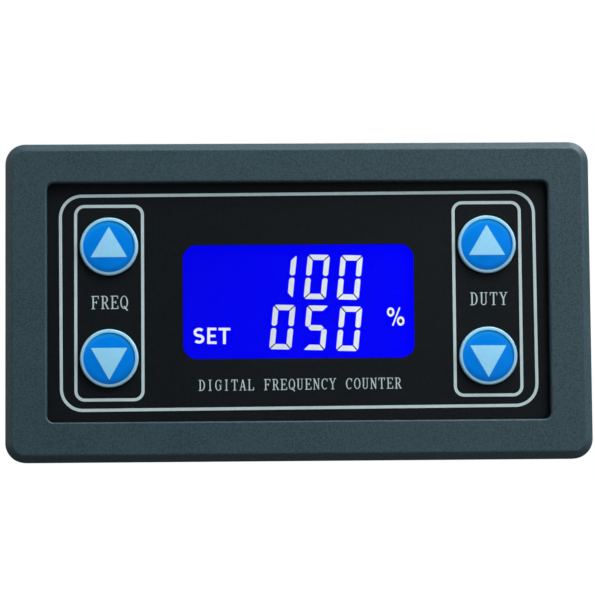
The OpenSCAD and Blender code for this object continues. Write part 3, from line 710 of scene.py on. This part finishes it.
def letter(c):
    """The polygons of a serif capital; nothing for a space."""
    left, mid, right, arm = 0.16, 0.31, 0.48, 0.48
    if c == "F":
        return [stem(left), serif(left, 0), rect(0.02, 1 - HAIR, 0.56, 1), tick(0.55, 0.76, 1),
                rect(left, arm, 0.42, arm + HAIR), tick(0.41, 0.4, 0.62)]
    if c == "E":
        return [stem(left), rect(0.02, 1 - HAIR, 0.56, 1), rect(0.02, 0, 0.58, HAIR),
                tick(0.55, 0.78, 1), tick(0.57, 0, 0.24), rect(left, arm, 0.42, arm + HAIR),
                tick(0.41, 0.4, 0.62)]
    if c == "R":
        return [stem(left), serif(left, 0), rect(0.02, 1 - HAIR, 0.34, 1),
                rect(left, 0.46, 0.34, 0.46 + HAIR), *arc(0.32, 0.73, 0.22, 0.27, -90, 90, STEM, HAIR),
                bar((0.33, 0.48), (0.54, 0.03), STEM), rect(0.47, 0, 0.64, FOOT)]
    if c in "OQ":
        oval = arc(mid, 0.5, 0.29, 0.5, 0, 360, STEM * 0.9, HAIR, 28)
        return oval if c == "O" else [*oval, bar((0.3, 0.2), (0.56, -0.13), 0.1)]
    if c == "D":
        return [stem(left), rect(0.02, 1 - HAIR, 0.28, 1), rect(0.02, 0, 0.28, HAIR),
                *arc(0.26, 0.5, 0.33, 0.5, -90, 90, STEM, HAIR, 18)]
    if c == "U":
        return [stem(0.14, 0.26), stem(right, 0.26, 1, HAIR), serif(0.14, 1, 0.13),
                serif(right, 1, 0.12), *arc(0.297, 0.27, 0.222, 0.27, 180, 360, HAIR + 0.02, HAIR)]
    if c == "T":
        return [stem(mid), serif(mid, 0), rect(0.03, 1 - HAIR, 0.59, 1), tick(0.05, 0.76, 1),
                tick(0.57, 0.76, 1)]
    if c == "Y":
        return [stem(mid, 0, 0.5), serif(mid, 0), bar((mid, 0.46), (0.1, 0.97), STEM),
                bar((mid, 0.46), (0.52, 0.97), HAIR), serif(0.11, 1, 0.12), serif(0.52, 1, 0.1)]
    if c == "I":
        return [stem(mid), serif(mid, 0), serif(mid, 1)]
    if c == "L":
        return [stem(left), serif(left, 1), rect(0.02, 0, 0.56, HAIR), tick(0.55, 0, 0.27)]
    if c == "A":
        return [bar((0.09, 0.02), (0.3, 0.99), HAIR), bar((0.31, 0.99), (0.5, 0.02), STEM),
                rect(0.14, 0.3, 0.46, 0.3 + HAIR), serif(0.09, 0, 0.1), serif(0.51, 0, 0.12)]
    if c == "N":
        return [stem(0.12, 0, 1, HAIR), stem(0.51, 0, 1, HAIR), bar((0.12, 0.97), (0.51, 0.03), STEM),
                serif(0.12, 0, 0.1), rect(0.01, 1 - FOOT, 0.16, 1), serif(0.51, 1, 0.1)]
    if c == "C":
        return [*arc(0.33, 0.5, 0.3, 0.5, 48, 312, STEM, HAIR, 22), tick(0.55, 0.7, 0.98)]
    if c == "G":
        return [*arc(0.33, 0.5, 0.3, 0.5, 50, 320, STEM, HAIR, 22), tick(0.55, 0.7, 0.98),
                stem(0.52, 0.1, 0.42, 0.1), serif(0.5, 0.42 + FOOT, 0.12)]
    return []


def line_of_text(words, x0, x1, z_base, cap, turn):
    """Evenly spaced letters from x0 to x1, cap high, on a base line that rises by turn degrees."""
    pitch = (x1 - x0 - LETTER_W * cap) / (len(words) - 1)
    polygons = []
    rise = math.tan(math.radians(turn))
    for i, c in enumerate(words):
        at = (x0 + i * pitch, z_base + i * pitch * rise)
        polygons += moved(letter(c), scale=cap, turn=turn, at=at)
    return polygons


# ---- print on the front film ----

INK_T = 0.02
INK_SINK = 0.004
LINE_W = 0.41
y_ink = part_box("front_film")[0].y / MM - INK_T + INK_SINK

# name, left, bottom, right, top, corner radius, turn in degrees, rise
LINES = (
    ("line_outer", -32.03, -14.48, 32.03, 14.48, 2.9, 0.25, 0.1),
    ("line_left", -30.03, -13.12, -21.02, 13.04, 1.2, 0.0, 0.0),
    ("line_right", 21.05, -12.84, 30.05, 13.27, 1.2, 0.0, 0.0),
)
for name, x0, z0, x1, z1, radius, turn, rise in LINES:
    line = moved(frame_line(x0, z0, x1, z1, radius, LINE_W), turn=turn, at=(0, rise))
    printed(name, line, y_ink, INK_T, "case", INK)

# name, words, left, right, base line, cap height, turn in degrees
LEGENDS = (
    ("legend_freq", "FREQ", -27.97, -22.97, -0.88, 1.78, 0.3),
    ("legend_duty", "DUTY", 23.19, 28.27, -0.68, 1.74, 0.2),
    ("legend_title", "DIGITAL FREQUENCY COUNTER", -13.57, 13.77, -12.0, 1.48, 0.28),
)
for name, words, x0, x1, z_base, cap, turn in LEGENDS:
    letters = line_of_text(words, x0, x1, z_base, cap, turn)
    printed(name, letters, y_ink, INK_T, "case", INK)


# ---- keys ----

# corners from the key's middle
UP_ARROW = ((-2.45, -1.45), (2.45, -1.45), (0, 2.67))
DOWN_ARROW = ((-2.45, 1.4), (0, -2.9), (2.45, 1.4))
ARROW_GRID = 0.4


def print_arrow(key):
    """The triangle of a key, which follows the key's domed face."""
    low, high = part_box(f"{key}_button")
    cx, cz = (low.x + high.x) / 2 / MM, (low.z + high.z) / 2 / MM
    y_face = surface_under(f"{key}_button")

    def y_front(x, z):
        return y_face(x, z) - INK_T + INK_SINK

    corners = UP_ARROW if key.endswith("up") else DOWN_ARROW
    triangle = [Vector((cx + x, cz + z)) for x, z in corners]
    printed(
        f"{key}_arrow", [triangle], y_front, INK_T, f"{key}_key", ARROW_INK, ARROW_GRID
    )


for key in KEYS:
    print_arrow(key)


# ---- display ----

SEG_T, SEG_LIFT = 0.012, 0.03
DARK_T, DARK_GAP = 0.006, 0.002
y_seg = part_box("lcd_front_polarizer")[0].y / MM - SEG_LIFT
y_dark = y_seg + SEG_T + DARK_GAP
DIGIT_W, DIGIT_H, SEG_W, SEG_GAP, SEG_R = 3.0, 6.05, 0.72, 0.11, 0.32
SEG_R_STEPS = 4
MIDDLE_INSET = 0.44
DIGIT_LEAN, DISPLAY_TURN = 4.9, -1.3


def upper_left():
    """The upper left segment of a digit centred on the origin."""
    x, y, w, g = -DIGIT_W / 2, DIGIT_H / 2, SEG_W, SEG_GAP
    points = [(x + 0.05, 0.26), (x, 0.42), (x, y - SEG_R - g)]
    for i in range(1, SEG_R_STEPS + 1):
        a = math.radians(180 - 45 * i / SEG_R_STEPS)
        points.append((x + SEG_R + SEG_R * math.cos(a), y - SEG_R - g + SEG_R * math.sin(a)))
    points += [(x + w, y - w - g), (x + w, 0.38), (x + w - 0.21, 0.17), (x + 0.2, 0.17)]
    return points


def top():
    """The top segment, with bevelled outer corners."""
    x, y, w, g = DIGIT_W / 2, DIGIT_H / 2, SEG_W, SEG_GAP
    start = SEG_R * 0.3 + g
    bevel_x, bevel_y = 0.12, 0.08
    return [(-x + start, y - bevel_y), (-x + start + bevel_x, y), (x - start - bevel_x, y),
            (x - start, y - bevel_y), (x - w - g, y - w), (-x + w + g, y - w)]


def middle():
    """The middle segment, pointed at both ends."""
    x, w = DIGIT_W / 2 - MIDDLE_INSET, SEG_W / 2
    return [(-x, 0.0), (-x + w, w), (x - w, w), (x, 0.0), (x - w, -w), (-x + w, -w)]


def flipped(points, sx, sy):
    """The points mirrored, by factors of 1 or -1 for x and y."""
    return [(x * sx, y * sy) for x, y in points]


SEGMENTS = {
    "a": top(),
    "b": flipped(upper_left(), -1, 1),
    "c": flipped(upper_left(), -1, -1),
    "d": flipped(top(), 1, -1),
    "e": flipped(upper_left(), 1, -1),
    "f": upper_left(),
    "g": middle(),
}
LIT = {"0": "abcdef", "1": "bc", "5": "acdfg"}
# digit, x and z of its middle
DIGITS = (
    ("1", -1.95, 3.54), ("0", 2.54, 3.44), ("0", 7.02, 3.34),
    ("0", -2.19, -3.36), ("5", 2.36, -3.48), ("0", 6.87, -3.64),
)


# two segments that meet, and the side and height of their corner
CORNERS = (("f", "a", -1, 1), ("a", "b", 1, 1), ("c", "d", 1, -1), ("d", "e", -1, -1))
STRIP_W = 0.2
STRIP_OUTER = (0.16, 0.19)
STRIP_INNER = (SEG_W - 0.02, SEG_W + 0.03)


def joint_shadows_of(digit):
    """Dark strips of painted segment shadow behind the mitred corners of a lit digit, just inside its
    outline.
    """
    strips = []
    for a, b, sx, sy in CORNERS:
        if a in LIT[digit] and b in LIT[digit]:
            x, y = sx * DIGIT_W / 2, sy * DIGIT_H / 2
            p, q = ((x - sx * inset[0], y - sy * inset[1]) for inset in (STRIP_OUTER, STRIP_INNER))
            strips.append(bar(p, q, STRIP_W))
    return strips


lit, dark = [], []
for digit, cx, cz in DIGITS:
    place = {"turn": DISPLAY_TURN, "shear": DIGIT_LEAN, "at": (cx, cz)}
    lit += moved([SEGMENTS[s] for s in LIT[digit]], **place)
    dark += moved(joint_shadows_of(digit), **place)
printed("digits", lit, y_seg, SEG_T, "case", SEGMENT_LIGHT)
# painted segment shadow in the corner gaps of the digits
printed("digit_joint_shadows", dark, y_dark, DARK_T, "case", SEGMENT_SHADOW)

SET_CAP, SET_TURN, SET_AT = 2.2, -0.9, (-14.3, -5.54)
SET_STEM = 0.175
SET_ARM, SET_MIDDLE_ARM = SET_STEM * 0.9, SET_STEM * 0.85
SET_CURVE_STEPS = 12


def set_letters():
    """The word SET, one unit tall."""
    curve = []
    for cx, cy, start, end in ((0.36, 0.70, 35, 270), (0.36, 0.30, 90, -145)):
        for i in range(SET_CURVE_STEPS + 1):
            a = math.radians(start + (end - start) * i / SET_CURVE_STEPS)
            curve.append((cx + 0.25 * math.cos(a), cy + 0.2 * math.sin(a)))
    s = stroke(curve, SET_STEM)
    x, middle_y = 0.87, 0.42
    e = [rect(x, 0, x + SET_STEM, 1), rect(x, 1 - SET_ARM, 1.43, 1), rect(x, 0, 1.45, SET_ARM),
         rect(x, middle_y, 1.38, middle_y + SET_MIDDLE_ARM)]
    x = 1.84
    t = [rect(1.56, 1 - SET_ARM, 2.29, 1), rect(x, 0, x + SET_STEM, 1)]
    return s + e + t


def oval_ring(centre, half_w, half_h, thick_x, thick_y):
    """A closed oval stroke; half_w and half_h are to its outside."""
    return arc(*centre, half_w, half_h, 0, 360, thick_x, thick_y, steps=24)


PERCENT_RINGS = ((12.52, -1.41), (13.87, -2.65))
PERCENT_SLASH = bar((12.77, -3.26), (13.76, -0.8), 0.21)

annunciators = moved(set_letters(), scale=SET_CAP, turn=SET_TURN, at=SET_AT)
holes = []
for centre in PERCENT_RINGS:
    annunciators += oval_ring(centre, 0.51, 0.63, 0.27, 0.32)
    holes += oval_ring(centre, 0.19, 0.26, 0.18, 0.25)
annunciators.append(PERCENT_SLASH)
printed("annunciators", annunciators, y_seg, SEG_T, "case", SIGN_LIGHT)
# painted shade: dark ovals in the holes of the percent sign
printed("annunciator_hole_shadows", holes, y_dark, DARK_T, "case", SEGMENT_SHADOW)


# ---- stage ----


# name, place, target, width and height, power in watts
LIGHTS = (
    ("top_light", (0.20, -0.135, 0.37), (0, 0, 0), (0.4, 0.3), 4.2),
    ("right_light", (0.31, -0.36, 0.16), (0, 0, 0), (0.3, 0.4), 1.0),
    ("left_light", (-0.45, -0.16, 0.16), (0, 0, 0), (0.3, 0.4), 0.6),
    ("back_light", (0.25, 0.60, 0.45), (0, 0.01, 0), (0.6, 0.5), 6.0),
    ("back_fill", (-0.50, 0.50, 0.05), (0, 0.01, 0), (0.5, 0.5), 1.9),
)
FLOOR_Z = -60 * MM
FLOOR_HALF = 2.0


def area_light(name, at, target, size, power):
    """A rectangular light that shines from its place at its target."""
    data = bpy.data.lights.new(name, "AREA")
    data.shape = "RECTANGLE"
    data.size, data.size_y = size
    data.energy = power
    light = bpy.data.objects.new(name, data)
    light.location = at
    light.rotation_euler = (Vector(target) - Vector(at)).to_track_quat("-Z", "Y").to_euler()
    scene.collection.objects.link(light)


for light in LIGHTS:
    area_light(*light)


def pale_floor():
    """White to the camera; to the lights and gloss, a dull grey that throws little light back."""
    made = bpy.data.materials.new("floor_pale")
    t = Tree(made)
    cloud = t.noise(6, detail=2)
    tone = t.mix(t.spread(cloud), (0.86, 0.86, 0.86), (0.9, 0.9, 0.9))
    shader = t.add("ShaderNodeBsdfDiffuse", {"Color": tone})
    glow = t.add("ShaderNodeEmission", {"Color": tone, "Strength": 0.9})
    bright = t.add("ShaderNodeAddShader", {0: shader, 1: glow})
    dull = t.add("ShaderNodeBsdfDiffuse", {"Color": (0.12, 0.12, 0.12)})
    seen = t.add("ShaderNodeLightPath", out="Is Camera Ray")
    both = t.add("ShaderNodeMixShader", {0: seen, 1: dull, 2: bright})
    t.add("ShaderNodeOutputMaterial", {"Surface": both})
    return made


def add_floor():
    """A square floor below the picture, since the camera of the photograph stands below the object."""
    half = FLOOR_HALF
    mesh = bmesh.new()
    corners = ((-half, -half), (half, -half), (half, half), (-half, half))
    mesh.faces.new([mesh.verts.new((x, y, FLOOR_Z)) for x, y in corners])
    data = bpy.data.meshes.new("floor")
    mesh.to_mesh(data)
    mesh.free()
    data.materials.append(pale_floor())
    floor = bpy.data.objects.new("floor", data)
    scene.collection.objects.link(floor)


add_floor()


def add_world():
    """White to the camera; to the lights and gloss, a dim studio that is dark in front of the object."""
    world = bpy.data.worlds.new("studio")
    scene.world = world
    t = Tree(world)
    direction = t.add("ShaderNodeTexCoord", out="Generated")
    depth = t.add("ShaderNodeSeparateXYZ", {0: direction}, out="Y")
    level = t.span(depth, -0.9, 0.1)
    ambient = t.mix(level, (0.01, 0.01, 0.01), (0.4, 0.4, 0.4))
    dim = t.add("ShaderNodeBackground", {"Color": ambient, "Strength": 1.0})
    white = t.add("ShaderNodeBackground", {"Color": (1.0, 1.0, 1.0), "Strength": 1.0})
    seen = t.add("ShaderNodeLightPath", out="Is Camera Ray")
    both = t.add("ShaderNodeMixShader", {0: seen, 1: dim, 2: white})
    t.add("ShaderNodeOutputWorld", {"Surface": both})


add_world()
